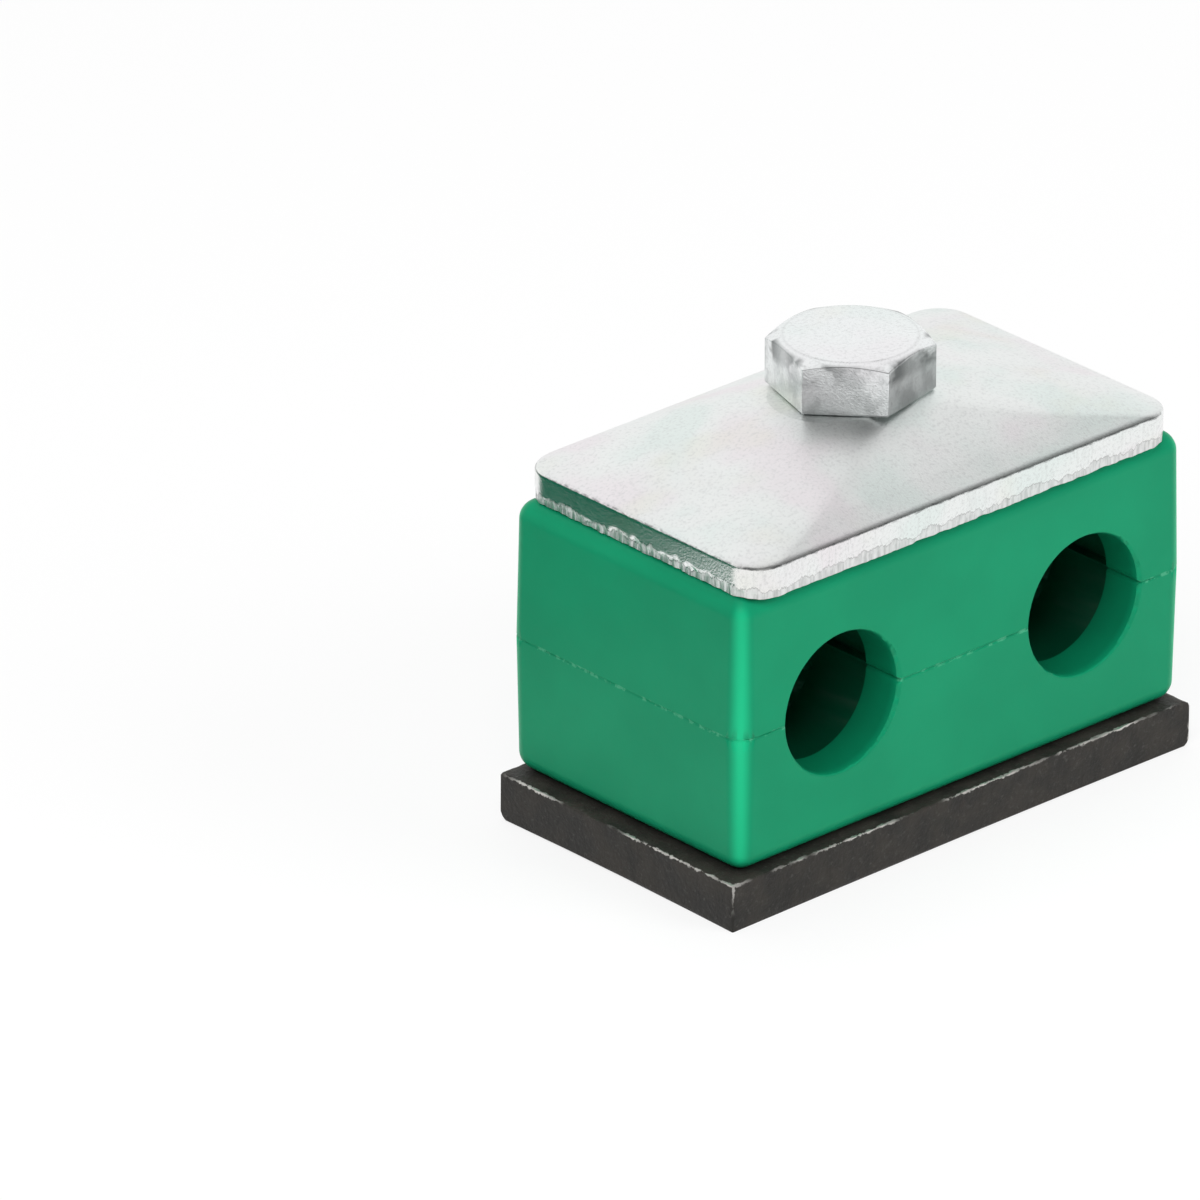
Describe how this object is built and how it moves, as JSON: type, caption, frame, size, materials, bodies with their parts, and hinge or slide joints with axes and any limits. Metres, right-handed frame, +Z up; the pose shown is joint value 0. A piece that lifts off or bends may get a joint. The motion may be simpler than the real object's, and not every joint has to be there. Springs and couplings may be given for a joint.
{
  "type": "twin tube clamp",
  "caption": "Twin tube clamp: weld plate with threaded bush, split moulded body with paired tube bores, dished cover plate and hexagon bolt.",
  "frame": {"origin": "underside of the weld plate, on the bolt's axis", "axes": "+X across the tubes, +Y along the tubes, +Z up along the bolt"},
  "size_m": [0.055, 0.0303, 0.0434],
  "materials": {
    "black_steel": "satin black mill-scale steel",
    "bush_steel": "turned, oiled",
    "green_plastic": "satin green polypropylene",
    "zinc_plate": "bright zinc plating on pressed steel",
    "zinc_bolt": "bright zinc plating on forged steel"
  },
  "bodies": {
    "base": {"weld_plate": "black_steel", "threaded_bush": "bush_steel", "lower_half": "green_plastic"},
    "jaw": {"upper_half": "green_plastic", "cover_plate": "zinc_plate"},
    "bolt": {"hex_bolt": "zinc_bolt"}
  },
  "joints": [
    {"name": "jaw_lift", "type": "slide", "parent": "base", "child": "jaw", "axis": [0, 0, 1], "range_m": [0, 0.00625]},
    {"name": "bolt_turn", "type": "hinge", "parent": "jaw", "child": "bolt", "pos_m": [0, 0, 0.0381], "axis": [0, 0, 1], "range_deg": [0, 1801]}
  ],
  "couplings": [
    {"joint": "bolt_turn", "follows": "jaw_lift", "rad_per_m": 5026.5}
  ]
}
